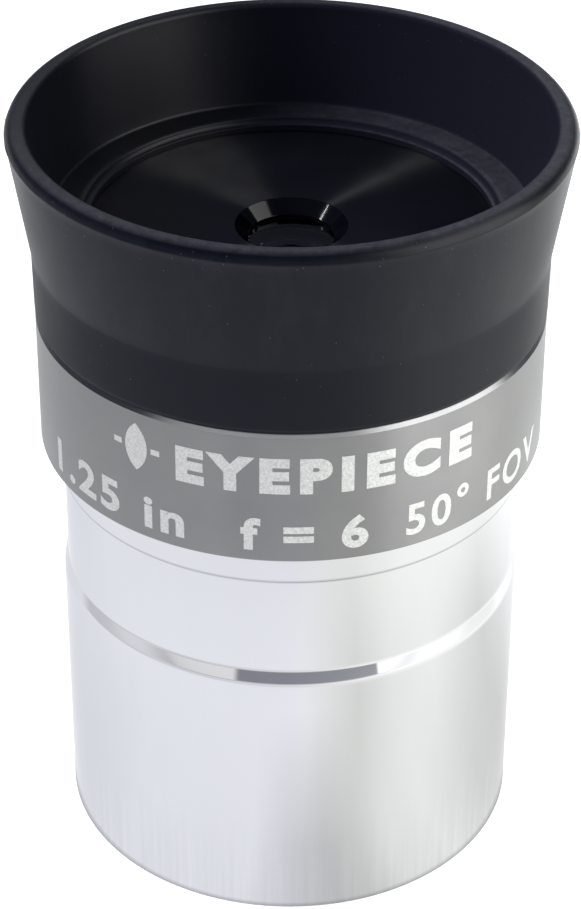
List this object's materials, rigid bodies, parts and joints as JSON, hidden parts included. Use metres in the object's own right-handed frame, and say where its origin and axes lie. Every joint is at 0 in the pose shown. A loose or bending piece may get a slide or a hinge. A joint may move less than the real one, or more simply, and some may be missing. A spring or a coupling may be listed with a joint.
{
  "type": "telescope eyepiece",
  "caption": "Short-focus telescope eyepiece: chromed push-in barrel with safety undercut, gunmetal band, black housing with a recessed eye lens, and a flared rubber eyecup.",
  "frame": {"origin": "centre of the barrel's foot, on the optical axis", "axes": "+Z along the optical axis towards the eye; the etched marks face -Y"},
  "size_m": [0.0368, 0.0368, 0.0534],
  "materials": {
    "chrome_plate": "polished chrome plating",
    "black_anodised": "turned, satin black anodised",
    "gunmetal": "satin gunmetal with etched marks",
    "black_rubber": "matte moulded rubber",
    "coated_glass": "polished with a blue-violet coating"
  },
  "bodies": {
    "barrel": {"barrel": "chrome_plate"},
    "optics": {"eye_lens_flint": "coated_glass", "eye_lens_crown": "coated_glass", "lens_spacer": "black_anodised", "field_lens_crown": "coated_glass", "field_lens_flint": "coated_glass"},
    "upper": {"upper_housing": "black_anodised", "name_band": "gunmetal", "lens_cell": "black_anodised", "lens_retainer": "black_anodised", "field_stop": "black_anodised"},
    "eyecup": {"eyecup": "black_rubber"}
  },
  "joints": [
    {"name": "thread_lift", "type": "slide", "parent": "barrel", "child": "optics", "axis": [0, 0, 1], "range_m": [0, 0.0042]},
    {"name": "thread_turn", "type": "hinge", "parent": "optics", "child": "upper", "pos_m": [0, 0, 0.0326], "axis": [0, 0, 1], "range_deg": [0, 1980]},
    {"name": "eyecup_pull", "type": "slide", "parent": "upper", "child": "eyecup", "axis": [0, 0, 1], "range_m": [0, 0.012]}
  ],
  "couplings": [
    {"joint": "thread_lift", "follows": "thread_turn", "m_per_rad": 0.00011937}
  ]
}
